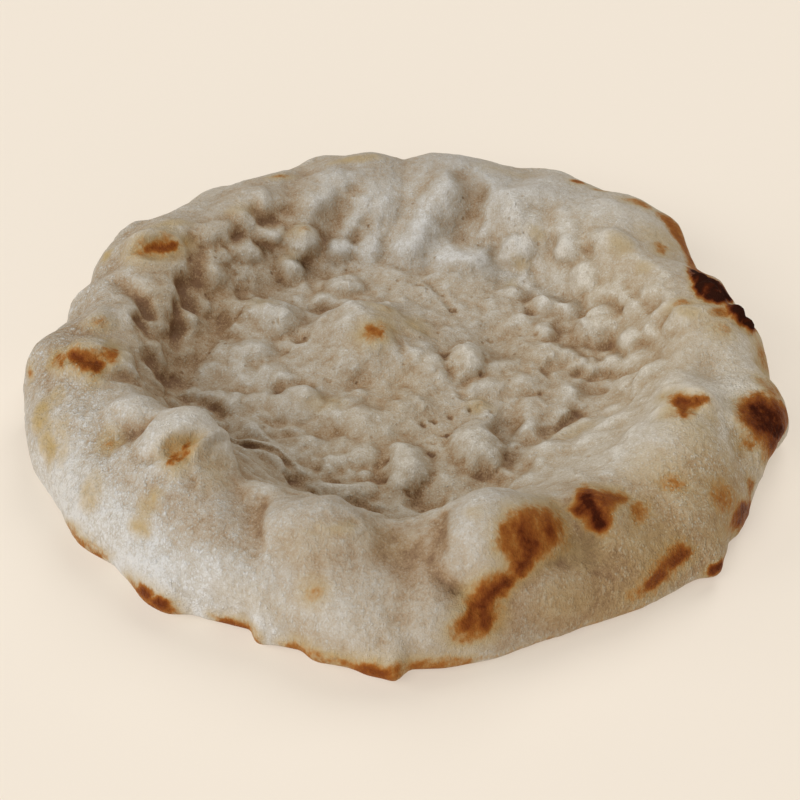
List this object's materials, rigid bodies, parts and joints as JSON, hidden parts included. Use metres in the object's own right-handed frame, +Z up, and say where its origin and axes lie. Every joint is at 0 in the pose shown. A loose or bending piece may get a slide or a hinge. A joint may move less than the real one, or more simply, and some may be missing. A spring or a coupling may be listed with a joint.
{
  "type": "pizza crust",
  "caption": "Blank baked pizza crust with a tall puffed rim, a bumpy pitted floor and scorched bubbles, ready for toppings.",
  "frame": {"origin": "middle of the flat underside, at the centre of the crust's box", "axes": "+Z up out of the topping side; +X to the right and +Y away from the viewer of the picture"},
  "size_m": [0.2632, 0.2628, 0.0427],
  "materials": {
    "baked_dough": "matt, floury baked dough with brown scorch marks"
  },
  "bodies": {
    "root": {"crust": "baked_dough"}
  },
  "joints": []
}
